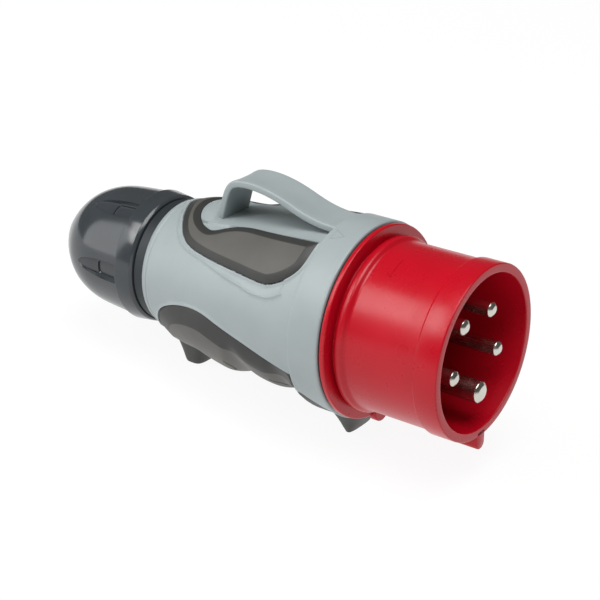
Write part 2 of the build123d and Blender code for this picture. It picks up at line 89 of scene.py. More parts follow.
# Name, place and size in metres, power in watts and roll in degrees.
LIGHTS = [("key_light", (-0.96, -0.72, 0.49), (0.68, 1.0), 5.4, 0.0),
          ("high_light", (-0.55, -0.68, 0.85), (0.26, 0.68), 3.8, 35.0),
          ("side_fill", (0.35, -1.0, 0.05), (0.6, 0.4), 0.6, 0.0),
          ("top_light", (0.2, -0.2, 1.18), (0.9, 0.9), 15.0, 0.0)]


def linear(hex_colour):
    """sRGB hex to the linear values that the shaders use."""
    channels = [int(hex_colour[i:i + 2], 16) / 255 for i in (1, 3, 5)]
    return tuple(c / 12.92 if c <= 0.04045 else ((c + 0.055) / 1.055) ** 2.4 for c in channels) + (1.0,)


def add_node(tree, kind, place=(0, 0), **values):
    """Shader node with its sockets and settings filled in."""
    node = tree.nodes.new(kind)
    node.location = place
    for key, value in values.items():
        socket = node.inputs.get(key.replace("_", " "))
        if socket is not None:
            socket.default_value = value
        else:
            setattr(node, key, value)
    return node


def new_material(name):
    """Empty node material with a Principled shader wired to its output."""
    material = bpy.data.materials.new(name)
    material.use_nodes = True
    tree = material.node_tree
    tree.nodes.clear()
    shader = add_node(tree, "ShaderNodeBsdfPrincipled")
    output = add_node(tree, "ShaderNodeOutputMaterial", (300, 0))
    tree.links.new(shader.outputs["BSDF"], output.inputs["Surface"])
    return material, tree, shader


def make_floor():
    """Floor under the fins, wide enough to fill the view: a lit sheet of opal acrylic."""
    material, _, shader = new_material("opal_acrylic_floor")
    shader.inputs["Base Color"].default_value = linear("#4A4A4A")
    shader.inputs["Roughness"].default_value = FLOOR_ROUGHNESS
    shader.inputs["Emission Color"].default_value = linear("#FFFFFF")
    shader.inputs["Emission Strength"].default_value = FLOOR_GLOW
    along = (SOLE_FRONT - SOLE_REAR).normalized()
    side = Vector((0, 1, 0))
    centre = (SOLE_FRONT + SOLE_REAR) / 2
    half = FLOOR_SIZE / 2
    corners = [centre + along * a * half + side * b * half for a, b in ((-1, -1), (1, -1), (1, 1), (-1, 1))]
    mesh = bpy.data.meshes.new("floor")
    mesh.from_pydata([tuple(c) for c in corners], [], [(0, 1, 2, 3)])
    mesh.materials.append(material)
    floor = bpy.data.objects.new("floor", mesh)
    bpy.context.scene.collection.objects.link(floor)


def make_light(name, place, size, power, roll):
    """Soft box that points at the plug, turned about its own axis by a roll in degrees."""
    data = bpy.data.lights.new(name, "AREA")
    data.shape = "RECTANGLE"
    data.size, data.size_y = size
    data.energy = power
    light = bpy.data.objects.new(name, data)
    light.location = place
    aim = (Vector(LIGHT_TARGET) - Vector(place)).to_track_quat("-Z", "Y").to_matrix()
    light.rotation_euler = (aim @ Matrix.Rotation(math.radians(roll), 3, "Z")).to_euler()
    bpy.context.scene.collection.objects.link(light)


def make_studio():
    """Floor, lights and a faint white surround."""
    make_floor()
    for light in LIGHTS:
        make_light(*light)
    world = bpy.data.worlds.new("studio")
    world.use_nodes = True
    world.node_tree.nodes["Background"].inputs["Color"].default_value = linear("#FFFFFF")
    world.node_tree.nodes["Background"].inputs["Strength"].default_value = WORLD_GLOW
    bpy.context.scene.world = world
    bpy.context.scene.view_settings.view_transform = "Standard"


make_studio()


# Grip housing. The plug's hand shell, one moulding in glass-filled polyamide with a satin grain.
# Band in front, tapering body behind, a tongue with a flat saddle on top and the hanging loop over
# it. Recesses with a thin raised lip take the soft inlays.
HOUSING_FRONT = -39.5
BAND_REAR = -50.8
BAND_R = 32.0
BODY_LENGTH = 67.2
HOUSING_REAR = BAND_REAR - BODY_LENGTH
# Forms pair a share of the body's length with a radius, a half width or a height; edges pair it
# with degrees over the horizontal.
BODY_FORM = [(0.0, 31.2), (0.14, 30.5), (0.43, 28.3), (0.73, 25.2), (1.0, 22.3)]
UNROLL_R = 27.0
BAND_FOOT_R = 31.2
BAND_ROUND = 0.6
END_TAPER = 2.4
END_DROP = 0.55
END_CURVE = 1.4
END_ROUND = 0.45
END_GROOVE = 2.6
GROOVE_HALF = 0.28
GROOVE_DEPTH = 0.16
SADDLE = [(0.665, 23.2), (0.0, 28.2)]
SADDLE_REAR = -95.5
SADDLE_RAMP = 6.0
SADDLE_RISE = 5.0
SADDLE_TURN = 0.9
SADDLE_BLEND = 0.35
NO_SADDLE = 99
TONGUE_FORM = [(0.012, 14.0), (0.12, 13.8), (0.30, 13.0), (0.46, 12.1), (0.567, 13.2), (0.635, 14.1),
               (0.69, 13.0), (0.772, 8.6), (0.803, 4.3), (0.815, 0.0)]
PAD_EDGE = [(0.935, 90.0), (0.875, 68.0), (0.818, 53.5), (0.765, 45.5), (0.634, 38.0),
            (0.485, 34.5), (0.345, 32.3), (0.246, 30.9), (0.185, 30.5)]
PAD_NOSE = [(0.185, 30.5), (0.131, 33.0), (0.061, 39.0), (0.028, 44.5), (0.016, 52.0), (0.013, 63.3)]
GRIP_EDGE = [(0.99, -75.0), (0.955, -48.0), (0.915, -29.0), (0.866, -16.0), (0.784, -7.5), (0.66, -2.2),
             (0.562, -1.8), (0.461, -5.0), (0.299, -10.0), (0.119, -16.0), (0.004, -19.5)]
# x and degrees over the horizontal.
CREASE = [(-112.5, 74.0), (-110.0, 62.0), (-106.5, 49.0), (-101.6, 40.0), (-93.8, 35.0), (-84.6, 30.0),
          (-78.1, 27.0), (-72.4, 25.0), (-67.1, 23.0), (-62.9, 23.0), (-59.9, 24.0), (-56.5, 27.5)]
CREASE_SLOPE = 0.22
CREASE_BEAD = 0.30
CREASE_HALF = 0.5
PANEL_CORNERS = [(-56.5, 20.0), (-112.5, 5.0)]
PANEL_TURN = 0.45
PANEL_DROP = 0.75
RECESS_DEPTH = 1.3
RECESS_WALL = 0.08
LIP_HEIGHT = 0.36
LIP_WIDTH = 0.8
LIP_SOFT = 0.35
LIP_START = 0.18
LIP_BAND_FADE = 0.6
LIP_END_FADE = (0.6, 2.0)
SEAM_DEPTH = 0.2
SEAM_HALF = 0.2
GRIP_SEAT = 1.4
GRIP_LIFT = 3.5
BAND_SEAT_R = 27.2
HOUSING_ROWS = [(HOUSING_REAR, (0, 0.05, 0.2, END_ROUND, END_TAPER)),
                (HOUSING_REAR + END_GROOVE, (-GROOVE_HALF, -GROOVE_HALF / 2, 0, GROOVE_HALF / 2, GROOVE_HALF)),
                (BAND_REAR, (-0.02, 0, 0.06, 0.25, BAND_ROUND)),
                (HOUSING_FRONT, (-BAND_ROUND, -0.25, -0.06, 0))]
HOUSING_INSIDE = [(HOUSING_FRONT, 24.1), (-53.5, 24.1), (-105.0, 19.5), (-105.0, 15.6), (HOUSING_REAR, 15.6)]
GRID = 0.9
GRID_ROW = 0.87
GRID_END = 0.3
GRID_CLEAR = 0.4
CLEAR_SHARE = 0.97
RING_POINTS = 96


def body_x(share):
    """Place along the grip in mm, from 0 at the band to 1 at its rear end."""
    return BAND_REAR - share * BODY_LENGTH


def smooth_curve(points, count):
    """Cubic spline through the points, sampled evenly along the chords."""
    p = np.array(points, float)
    t = np.concatenate(([0], np.cumsum(np.hypot(*np.diff(p, axis=0).T))))
    gap = np.diff(t)
    size = len(t)
    matrix = np.eye(size)
    slopes = np.diff(p, axis=0) / gap[:, None]
    target = np.zeros_like(p)
    for i in range(1, size - 1):
        matrix[i, i - 1:i + 2] = gap[i - 1], 2 * (gap[i - 1] + gap[i]), gap[i]
        target[i] = 6 * (slopes[i] - slopes[i - 1])
    bend = np.linalg.solve(matrix, target)
    s = np.linspace(0, t[-1], count)
    i = np.clip(np.searchsorted(t, s) - 1, 0, size - 2)
    h = gap[i][:, None]
    u = (s - t[i])[:, None]
    v = h - u
    return ((bend[i] * v ** 3 + bend[i + 1] * u ** 3) / (6 * h) + (p[i] / h - bend[i] * h / 6) * v
            + (p[i + 1] / h - bend[i + 1] * h / 6) * u)


BODY_CURVE = smooth_curve([(body_x(share), r) for share, r in BODY_FORM], 200)[::-1]


def body_r(x):
    """Radius of the plain body at a place along it."""
    return np.interp(x, BODY_CURVE[:, 0], BODY_CURVE[:, 1])


def arc(angle):
    """Arc in mm from the top down to an angle over the horizontal."""
    return math.radians(90 - angle) * UNROLL_R


def unrolled(points):
    """(share, angle over the horizontal) points as (x, arc from the top) in mm."""
    return [(body_x(share), arc(angle)) for share, angle in points]


def tongue_line():
    """Edge of the tongue from the band back to its round end."""
    line = [(body_x(share), math.asin(half / float(body_r(body_x(share)))) * UNROLL_R)
            for share, half in TONGUE_FORM]
    return smooth_curve(line, 130)


def joined(*lines):
    """One line from several, without the doubled points where they meet."""
    points = np.concatenate(lines)
    keep = np.concatenate(([True], np.hypot(*np.diff(points, axis=0).T) > 1e-3))
    return points[keep]


TONGUE = tongue_line()
PAD_LINE = joined(smooth_curve(unrolled(PAD_EDGE), 170), smooth_curve(unrolled(PAD_NOSE), 80), TONGUE)
FOOT_LINE = math.pi * UNROLL_R
GRIP_TOP = smooth_curve(unrolled(GRIP_EDGE), 170)
GRIP_FRONT = [(BAND_REAR, arc(-32.5)), (BAND_REAR + 2.0, arc(-32.5)), (-46.1, arc(-37.0)), (-43.0, arc(-43.0)),
              (-40.2, arc(-50.0)), (-40.0, arc(-56.0)), (-40.0, FOOT_LINE)]
GRIP_LINE = joined([(GRIP_TOP[0, 0], FOOT_LINE)], GRIP_TOP, GRIP_FRONT)
CREASE_LINE = smooth_curve([(x, arc(angle)) for x, angle in CREASE], 80)


def line_distance(points, line):
    """Distance of each point from a line."""
    start, step = line[:-1], np.diff(line, axis=0)
    length = (step ** 2).sum(1)
    result = []
    for block in np.array_split(points, max(1, len(points) // 2000)):
        offset = block[:, None] - start
        along = np.clip((offset * step).sum(2) / length, 0, 1)
        result.append(np.sqrt(((offset - along[..., None] * step) ** 2).sum(2)).min(1))
    return np.concatenate(result)


def within(points, loop):
    """Whether each point lies inside a closed outline."""
    x, y = points.T
    result = np.zeros(len(points), bool)
    for (ax, ay), (bx, by) in zip(loop, np.roll(loop, -1, axis=0)):
        if ay != by:
            result ^= ((ay > y) != (by > y)) & (x < (bx - ax) * (y - ay) / (by - ay) + ax)
    return result


def depth_in(points, line, closing=()):
    """Distance inside an outline, negative outside it; closing points shut an open line."""
    loop = np.concatenate((line, closing)) if len(closing) else line
    return np.where(within(points, loop), 1, -1) * line_distance(points, line)


def line_normals(line):
    """Unit normals along a line."""
    step = np.gradient(line, axis=0)
    return np.stack((-step[:, 1], step[:, 0]), 1) / np.hypot(*step.T)[:, None]


def shifted(line, amount):
    """The outline moved inward by an amount, where that stays clear of itself."""
    normals = line_normals(line)
    moved = line + normals * amount
    side = np.where(within(moved, line), 1, -1) * np.sign(amount)
    moved = np.where(side[:, None] > 0, moved, line - normals * amount)
    clear = line_distance(moved, line) > abs(amount) * CLEAR_SHARE
    return moved[clear & (moved[:, 1] >= 0) & (moved[:, 1] <= FOOT_LINE)]


def fill_surface(lines, low, high, spacing, keep=None):
    """Triangles over a stretch of unrolled surface, with the lines among their edges."""
    across = np.arange(low[0], high[0] + spacing / 2, spacing)
    rows = len(np.arange(low[1], high[1] + spacing / 2, spacing * GRID_ROW))
    grid = np.array([(x + (i % 2) * spacing / 2, y) for i, y in enumerate(np.linspace(low[1], high[1], rows))
                     for x in across])
    grid = grid[(grid[:, 0] > low[0] + spacing * GRID_END) & (grid[:, 0] < high[0] - spacing * GRID_END)]
    for line in lines:
        grid = grid[line_distance(grid, line) > spacing * GRID_CLEAR]
    points = [Vector(p) for p in grid.tolist()]
    edges = []
    for line in lines:
        first = len(points)
        points += [Vector(p) for p in line.tolist()]
        edges += [(i, i + 1) for i in range(first, len(points) - 1)]
    corners, _, faces, _, _, _ = delaunay_2d_cdt(points, edges, [], 0, 1e-4, False)
    corners = np.array([tuple(c) for c in corners])
    faces = np.array(faces)
    a, b, c = (corners[faces[:, k]] for k in range(3))
    turn = (b[:, 0] - a[:, 0]) * (c[:, 1] - a[:, 1]) - (b[:, 1] - a[:, 1]) * (c[:, 0] - a[:, 0])
    faces = np.where((turn < 0)[:, None], faces[:, ::-1], faces)[np.abs(turn) > 1e-7]
    if keep is not None:
        faces = faces[keep(corners[faces].mean(1))]
    return corners, faces


def rolled(flat, radius, unroll=UNROLL_R):
    """Unrolled points back round the plug at a radius; the near side is -Y."""
    turn = flat[:, 1] / unroll
    return np.stack((flat[:, 0], -radius * np.sin(turn), radius * np.cos(turn)), 1)


def rim_edges(faces):
    """Edges used by one triangle only, as the triangle runs them."""
    edges = np.concatenate((faces[:, [0, 1]], faces[:, [1, 2]], faces[:, [2, 0]]))
    _, index, count = np.unique(np.sort(edges, 1), axis=0, return_index=True, return_counts=True)
    return edges[index[count == 1]]


def merged(points, faces, values=None):
    """Joins points that coincide and drops faces that shrink to nothing."""
    _, index, inverse = np.unique(np.round(points, 4), axis=0, return_index=True, return_inverse=True)
    inverse = inverse.ravel()
    result = []
    for face in faces:
        ring = [inverse[i] for i in face]
        ring = [a for a, b in zip(ring, ring[1:] + ring[:1]) if a != b]
        if len(set(ring)) > 2:
            result.append([int(i) for i in ring])
    return points[index], result, None if values is None else values[index]


def added(points, faces, more_points, more_faces):
    """Two meshes as one."""
    more = [[i + len(points) for i in face] for face in more_faces]
    return np.concatenate((points, more_points)), faces + more


def mirrored(points, faces, values=None):
    """The near half with its copy on the far side."""
    both = np.concatenate((points, points * (1, -1, 1)))
    flipped = [[i + len(points) for i in reversed(face)] for face in faces]
    doubled = None if values is None else np.concatenate((values, values))
    return merged(both, [list(f) for f in faces] + flipped, doubled)


def new_piece(name, points, faces, material, body, nodes, sharp=32, values=None):
    """Finished mesh in metres, on its body, in place of its CAD nodes."""
    mesh = bpy.data.meshes.new(name)
    mesh.from_pydata((np.array(points) * MM).tolist(), [], [list(map(int, f)) for f in faces])
    mesh.materials.append(material)
    mesh.shade_smooth()
    mesh.set_sharp_from_angle(angle=math.radians(sharp))
    if values is not None:
        # The rim attribute holds the inlays' painted shade: 1 where the border colour is painted on.
        mesh.attributes.new("rim", "FLOAT", "POINT").data.foreach_set("value", values.astype(np.float32))
    piece = bpy.data.objects.new(name, mesh)
    bpy.context.scene.collection.objects.link(piece)
    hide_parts(*nodes)
    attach(piece, body)
    return piece


def smooth_step(value, low, high):
    """0 below low, 1 above high, and a soft rise between."""
    t = np.clip((value - low) / (high - low), 0, 1)
    return t * t * (3 - 2 * t)


def soft_min(one, two, blend):
    """The smaller of two values, with a soft change over."""
    return -blend * np.log(np.exp(-one / blend) + np.exp(-two / blend))


def quarter(share):
    """Height of a quarter circle at a share of the way along it."""
    return np.sqrt(np.maximum(1 - (1 - np.clip(share, 0, 1)) ** 2, 0))


def ring_line(x, reach=FOOT_LINE, count=RING_POINTS):
    """Line round the near side at one place along the plug."""
    return np.stack((np.full(count, x), np.linspace(0, reach, count)), 1)


def grip_seat_r(flat):
    """Radius of the floor under the bottom grip, which lies deeper towards the plug's underside."""
    turn = flat[:, 1] / UNROLL_R
    seat = body_r(flat[:, 0]) - GRIP_SEAT
    lifted = GRIP_LIFT * np.cos(turn) + np.sqrt(seat ** 2 - (GRIP_LIFT * np.sin(turn)) ** 2)
    return np.where(flat[:, 0] > BAND_REAR, BAND_SEAT_R, lifted)


def housing_r(flat):
    """Radius of the housing's outside at unrolled points."""
    x, turn = flat[:, 0], flat[:, 1] / UNROLL_R
    saddle_z = np.interp(x, [body_x(share) for share, _ in SADDLE], [z for _, z in SADDLE])
    wall = SADDLE_RISE * (1 - smooth_step(x, SADDLE_REAR - SADDLE_RAMP, SADDLE_REAR))
    saddle = np.where(turn < SADDLE_TURN, saddle_z / np.maximum(np.cos(turn), 0.5) + wall, NO_SADDLE)
    body = soft_min(body_r(x), saddle, SADDLE_BLEND)
    from_band = x - BAND_REAR
    band = BAND_R - BAND_ROUND + BAND_ROUND * quarter(from_band / BAND_ROUND)
    band -= BAND_ROUND * (1 - quarter((HOUSING_FRONT - x) / BAND_ROUND))
    radius = np.where(from_band >= 0, np.maximum(band, BAND_FOOT_R), body)
    to_end = x - HOUSING_REAR
    radius -= END_DROP * np.clip(1 - to_end / END_TAPER, 0, 1) ** END_CURVE
    radius -= END_ROUND * (1 - quarter(to_end / END_ROUND))
    radius -= GROOVE_DEPTH * (1 - smooth_step(np.abs(to_end - END_GROOVE), 0, GROOVE_HALF))
    on_body = smooth_step(-from_band, 0.0, LIP_BAND_FADE) * smooth_step(to_end, *LIP_END_FADE)
    pad_depth = depth_in(flat, PAD_LINE)
    for depth, floor in ((pad_depth, None), (depth_in(flat, GRIP_LINE), grip_seat_r(flat))):
        lip = 1 - smooth_step(-depth, LIP_WIDTH - LIP_SOFT, LIP_WIDTH + LIP_SOFT)
        radius += LIP_HEIGHT * (smooth_step(-depth, 0, LIP_START) * lip) * on_body
        radius -= SEAM_DEPTH * (1 - smooth_step(np.abs(depth), 0, SEAM_HALF))
        floor = radius - RECESS_DEPTH if floor is None else floor
        radius += (floor - radius) * smooth_step(depth, 0, RECESS_WALL)
    panel = within(flat, np.concatenate((CREASE_LINE, PANEL_CORNERS))) & (turn > PANEL_TURN)
    from_crease = line_distance(flat, CREASE_LINE)
    outside = pad_depth < 0
    radius -= np.where(panel & outside, np.minimum(from_crease * CREASE_SLOPE, PANEL_DROP), 0)
    return radius + np.where(outside, CREASE_BEAD * (1 - smooth_step(from_crease, 0, CREASE_HALF)), 0)


def make_housing_shell():
    """Outside of the housing with its ends and its inner wall."""
    lines = [ring_line(x + step) for x, steps in HOUSING_ROWS for step in steps]
    lines += [PAD_LINE, GRIP_LINE, CREASE_LINE]
    across = line_normals(CREASE_LINE)
    lines += [CREASE_LINE + across * amount
              for amount in (-CREASE_HALF, -CREASE_HALF / 2, CREASE_HALF / 2, CREASE_HALF)]
    edges = (RECESS_WALL, -SEAM_HALF, LIP_SOFT - LIP_WIDTH, -LIP_WIDTH, -LIP_SOFT - LIP_WIDTH)
    lines += [shifted(line, amount) for line in (PAD_LINE, GRIP_LINE) for amount in edges]
    flat, faces = fill_surface(lines, (HOUSING_REAR, 0), (HOUSING_FRONT, FOOT_LINE), GRID)
    points = rolled(flat, housing_r(flat))
    faces = faces[:, ::-1].tolist()
    front = np.flatnonzero(np.abs(flat[:, 0] - HOUSING_FRONT) < 1e-3)
    rear = np.flatnonzero(np.abs(flat[:, 0] - HOUSING_REAR) < 1e-3)
    front = front[np.argsort(flat[front, 1])]
    rear = rear[np.argsort(flat[rear, 1])]
    turns = flat[front, 1]
    rings = [front]
    for x, radius in HOUSING_INSIDE:
        ring = rolled(np.stack((np.full(len(turns), x), turns), 1), radius)
        rings.append(np.arange(len(points), len(points) + len(turns)))
        points = np.concatenate((points, ring))
    rings.append(rear)
    for one, two in zip(rings, rings[1:]):
        faces += [[one[i], one[i + 1], two[i + 1], two[i]] for i in range(len(turns) - 1)]
    return points, faces


# Outside of the strap: share of the body's length and height.
LOOP_OUTER = [(0.70, 21.0), (0.665, 29.7), (0.644, 33.6), (0.61, 36.5), (0.55, 37.8),
              (0.47, 37.9), (0.40, 37.3), (0.29, 35.3), (0.19, 32.9), (0.09, 31.4), (0.0, 30.9)]
LOOP_THICKNESS = 2.3
LOOP_HALF_WIDTH = 7.0
LOOP_ROUND = 0.55
LOOP_DISH = 0.25
LOOP_DISH_HALF = 5.5
LOOP_INSIDE_HALF = 3.0


def strap_section():
    """Half of the strap's cross section as (depth under the outside, half width)."""
    turns = np.linspace(0, math.pi / 2, 5)
    top = [(LOOP_DISH * (1 - (w / LOOP_DISH_HALF) ** 2), w) for w in np.linspace(0, LOOP_DISH_HALF, 6)]
    outer = [(LOOP_ROUND * (1 - math.cos(t)), LOOP_HALF_WIDTH - LOOP_ROUND * (1 - math.sin(t))) for t in turns]
    inner = [(LOOP_THICKNESS - LOOP_ROUND * (1 - math.sin(t)), LOOP_HALF_WIDTH - LOOP_ROUND * (1 - math.cos(t)))
             for t in turns]
    return np.array(top + outer + inner + [(LOOP_THICKNESS, LOOP_INSIDE_HALF), (LOOP_THICKNESS, 0)])


def make_loop():
    """Strap swept along the loop's outline, with both ends sunk in the body."""
    path = smooth_curve([(body_x(share), z) for share, z in LOOP_OUTER], 110)
    section = strap_section()
    size = len(section)
    points = []
    for place, up in zip(path, line_normals(path)):
        for depth, width in section:
            points.append((place[0] - up[0] * depth, -width, place[1] - up[1] * depth))
    faces = []
    for i in range(len(path) - 1):
        for k in range(size - 1):
            a = i * size + k
            faces.append([a, a + 1, a + size + 1, a + size])
    faces.append(list(range(size))[::-1])
    faces.append([(len(path) - 1) * size + k for k in range(size)])
    return np.array(points), faces


def grain(tree, shader, size, depth, place=(-500, -300)):
    """Moulded grain of a real size in mm as a fine bump."""
    where = add_node(tree, "ShaderNodeTexCoord", (place[0] - 400, place[1]))
    noise = add_node(tree, "ShaderNodeTexNoise", (place[0] - 200, place[1]), Scale=1 / (size * MM),
                     Detail=2.0)
    bump = add_node(tree, "ShaderNodeBump", place, Strength=0.5, Distance=depth * MM)
    tree.links.new(where.outputs["Object"], noise.inputs["Vector"])
    tree.links.new(noise.outputs["Fac"], bump.inputs["Height"])
    tree.links.new(bump.outputs["Normal"], shader.inputs["Normal"])
    return where


def varied(tree, where, low, high, size, place=(-500, 200)):
    """Slow change between two values or colours over a real size in mm."""
    noise = add_node(tree, "ShaderNodeTexNoise", (place[0] - 200, place[1]), Scale=1 / (size * MM),
                     Detail=3.0)
    tree.links.new(where.outputs["Object"], noise.inputs["Vector"])
    ramp = add_node(tree, "ShaderNodeValToRGB", place)
    ramp.color_ramp.elements[0].position = 0.3
    ramp.color_ramp.elements[1].position = 0.7
    ramp.color_ramp.elements[0].color = low
    ramp.color_ramp.elements[1].color = high
    tree.links.new(noise.outputs["Fac"], ramp.inputs["Fac"])
    return ramp.outputs["Color"]


def grey(value):
    """A plain value as a ramp colour."""
    return (value, value, value, 1.0)


def moulded(name, colours, roughness, grain_size, grain_depth, patch=14.0):
    """Moulded plastic or rubber: slight cloud in colour and gloss, and the tool's fine grain."""
    material, tree, shader = new_material(name)
    where = grain(tree, shader, grain_size, grain_depth)
    colour = varied(tree, where, linear(colours[0]), linear(colours[1]), patch)
    gloss = varied(tree, where, grey(roughness[0]), grey(roughness[1]), patch * 0.6, (-500, -50))
    tree.links.new(colour, shader.inputs["Base Color"])
    tree.links.new(gloss, shader.inputs["Roughness"])
    return material, tree, shader


# Glass-filled polyamide, satin grain from an eroded mould: soft, broad highlights.
HOUSING_PA, _, _ = moulded("polyamide_grey_satin", ("#949D9E", "#9AA3A4"), (0.38, 0.44), 0.45, 0.02)

ARROW = [[(-48.8, 75.4), (-44.9, 71.2)], [(-44.9, 71.2), (-48.8, 67.0)], [(-48.8, 67.0), (-48.8, 75.4)]]
LINE_HALF = 0.22
LINE_RISE = 0.14
LINE_SINK = 0.1


def raised_line(points, faces, path, radius):
    """Adds a fine raised line on the near side of a round part, along (x, angle over the horizontal) points."""
    flat = np.array([(x, arc(angle)) for x, angle in path])
    across = line_normals(flat)
    section = [(-LINE_HALF, -LINE_SINK), (-LINE_HALF / 2, LINE_RISE), (LINE_HALF / 2, LINE_RISE),
               (LINE_HALF, -LINE_SINK)]
    rows = [rolled(flat + across * side, radius + rise) for side, rise in section]
    first, count = len(points), len(flat)
    for k in range(4):
        one, two = first + k * count, first + (k + 1) % 4 * count
        faces += [[two + i, two + i + 1, one + i + 1, one + i] for i in range(count - 1)]
    faces += [[first + k * count for k in (3, 2, 1, 0)], [first + k * count + count - 1 for k in range(4)]]
    return np.concatenate([points] + rows), faces


def make_housing():
    """Shell and strap as one moulding, with the small arrow on the band."""
    points, faces, _ = mirrored(*added(*make_housing_shell(), *make_loop()))
    for side in ARROW:
        points, faces = raised_line(points, faces, side, BAND_R)
    new_piece("grip_housing_shell", points, faces, HOUSING_PA, "housing", ["grip_housing"])


make_housing()


# Top grip pad. Horseshoe inlay in thermoplastic rubber, moulded over the housing: an arm on each
# side of the loop, joined behind it, with a sloping border and a raised face. The border is painted
# darker as painted shade.
PAD_GAP = 0.12
PAD_SEAT = 1.2
PAD_FACE = 0.88
PAD_BORDER = 2.5
PAD_BOX = ((-115.0, 0.0), (-50.0, 34.0))
INLAY_START = 0.05
INLAY_ROUND = 0.12
INLAY_ROUND_END = 0.45
SLOPE_START = 0.3
SHOULDER_SOFT = 0.12
SHOULDER_START = 0.7
SHADE_SOFT = 0.25
SHADE_START = 0.02
GAP_SHARE = 0.98
RIM_ROW = 0.28


def inlay_rise(depth, border, face):
    """Height of a soft inlay over the body at a depth inside its outline."""
    edge = smooth_step(depth, PAD_GAP, INLAY_ROUND_END) * INLAY_ROUND
    slope = np.clip((depth - SLOPE_START) / (border - SLOPE_START), 0, 1)
    slope = slope - SHOULDER_SOFT * smooth_step(slope, SHOULDER_START, 1.0) * (1 - slope)
    return INLAY_START + edge + (face - INLAY_START - INLAY_ROUND) * slope


def inlay_lines(line, border):
    """Outline of an inlay and the lines inside it that follow its rounded rim and its border."""
    amounts = (PAD_GAP, RIM_ROW, INLAY_ROUND_END, border, border + SHADE_SOFT)
    return [line] + [shifted(line, amount) for amount in amounts]


def inlay_shell(line, top_of, base_of, lines, box, border):
    """Closed inlay: its face, its underside and the wall round its outline."""
    flat, faces = fill_surface(lines, *box, GRID, lambda centre: depth_in(centre, line) > PAD_GAP * GAP_SHARE)
    used, inverse = np.unique(faces, return_inverse=True)
    flat, faces = flat[used], inverse.reshape(faces.shape)
    depth = depth_in(flat, line)
    top = rolled(flat, top_of(flat, depth))
    base = rolled(flat, base_of(flat))
    count = len(flat)
    rim = rim_edges(faces)
    middle = (np.abs(flat[rim, 1]).max(1) < 1e-3) | (np.abs(flat[rim, 1] - FOOT_LINE).max(1) < 1e-3)
    result = faces[:, ::-1].tolist() + (faces + count).tolist()
    result += [[a, b, b + count, a + count] for a, b in rim[~middle].tolist()]
    # Painted shade: 1 on the sloping border and the underside, 0 on the face; it darkens the colour.
    shade = 1 - smooth_step(depth, border - SHADE_START, border + SHADE_SOFT)
    return mirrored(np.concatenate((top, base)), result, np.concatenate((shade, np.ones(count))))


def pad_r(flat, depth):
    """Radius of the top pad's face."""
    return body_r(flat[:, 0]) + inlay_rise(depth, PAD_BORDER, PAD_FACE)


def make_pad():
    """Top pad from its outline, seated in the body."""
    return inlay_shell(PAD_LINE, pad_r, lambda flat: body_r(flat[:, 0]) - PAD_SEAT,
                       inlay_lines(PAD_LINE, PAD_BORDER), PAD_BOX, PAD_BORDER)


def inlay_material(name, face, border, roughness):
    """Soft rubber whose sloping border is painted darker than its face, as painted shade."""
    material, tree, shader = moulded(name, face, roughness, 0.5, 0.03)
    colour = shader.inputs["Base Color"].links[0].from_socket
    rim = add_node(tree, "ShaderNodeAttribute", (-300, 400), attribute_name="rim")
    blend = add_node(tree, "ShaderNodeMix", (-100, 300), data_type="RGBA")
    # The border colour that the rim attribute mixes in is painted shade, not the rubber's own tone.
    blend.inputs["B"].default_value = linear(border)
    tree.links.new(rim.outputs["Fac"], blend.inputs["Factor"])
    tree.links.new(colour, blend.inputs["A"])
    tree.links.new(blend.outputs["Result"], shader.inputs["Base Color"])
    return material


# Thermoplastic rubber with a fine matt grain: it scatters light widely and hardly shines.
# The dark third colour is painted shade for the inlays' sloping borders and the fins.
PAD_RUBBER = inlay_material("rubber_taupe_matt", ("#504E4A", "#575551"), "#2C2D2B", (0.48, 0.56))
pad_points, pad_faces, pad_painted_shade = make_pad()
new_piece("top_grip_inlay", pad_points, pad_faces, PAD_RUBBER, "housing", ["top_grip_pad"],
          values=pad_painted_shade)


# Bottom grip pad. The same rubber under the hand, shaped in rounded ridges for the fingers, with
# two fins that the plug stands on. Its upper border slopes in to the housing; the border and the
# fins are painted darker as painted shade.
GRIP_FACE = 1.8
GRIP_BORDER = 6.0
GRIP_BAND_R = 31.6
GRIP_BLEND = 0.3
GRIP_CLEAR = 0.1
GRIP_BAND_ROW = 0.15
GRIP_BOX = ((-120.0, 40.0), (-38.0, FOOT_LINE))
FINGER_AXIS_Z = 6.0
FINGER_FORM = [(1.0, 29.0), (0.905, 30.2), (0.792, 31.3), (0.70, 31.6), (0.625, 32.9), (0.54, 34.5),
               (0.458, 33.8), (0.375, 32.1), (0.30, 33.3), (0.226, 34.1), (0.17, 33.9), (0.122, 32.7),
               (0.07, 32.9), (0.03, 33.8), (0.0, 35.6), (-0.03, 37.1), (-0.16, 37.3)]
FINGER_CURVE = smooth_curve([(body_x(share), r) for share, r in FINGER_FORM], 300)
# x, height of the sole, length, width and flare of each fin.
FINS = [(-45.6, -39.4, 3.4, 12.6, 6.5), (-112.0, -34.7, 7.6, 9.6, 3.2)]
FIN_SOLE = [(0.0, -1.0), (0.12, -0.6), (0.35, -0.25), (0.8, 0.0)]
FIN_HEIGHTS = (2.0, 3.5, 5.0, 6.5, 8.0, 9.5, 11.0, 12.5)
FIN_CURVE = 1.3
FIN_SIDE_SPREAD = 0.7
FIN_SQUARENESS = 0.62
FIN_POINTS = 48
# Share of the border's dark colour painted on the fins: painted shade.
FIN_SHADE = 0.8
